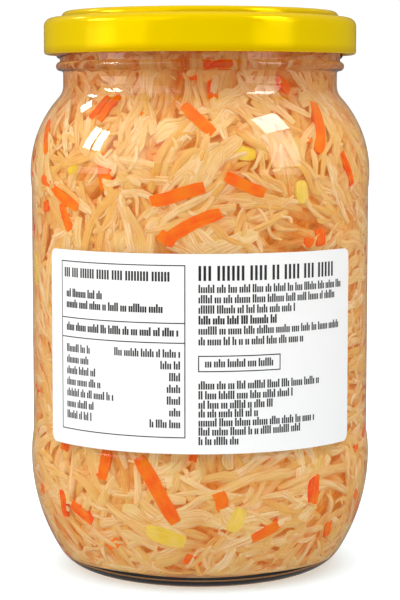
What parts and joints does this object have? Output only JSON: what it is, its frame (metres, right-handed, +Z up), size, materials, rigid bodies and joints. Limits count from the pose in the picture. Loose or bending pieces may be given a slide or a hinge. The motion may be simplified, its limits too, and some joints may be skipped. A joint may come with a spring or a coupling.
{
  "type": "sauerkraut jar",
  "caption": "Full round glass jar of sauerkraut with carrot: twist-off painted steel cap, recessed panel between two bulges, paper label",
  "frame": {"origin": "centre of the ring that the jar stands on, at the bottom", "axes": "+Z up along the jar's axis, the longest extent; the label's middle faces -Y"},
  "size_m": [0.096, 0.096, 0.1562],
  "materials": {
    "glass": "clear flint glass, smooth",
    "cap": "glossy yellow lacquer",
    "kraut": "wet shredded cabbage and carrot in brine",
    "label": "coated white paper, semi-matt"
  },
  "bodies": {
    "root": {"glass_jar": "glass", "lid": "cap", "kraut": "kraut", "label": "label"}
  },
  "joints": []
}
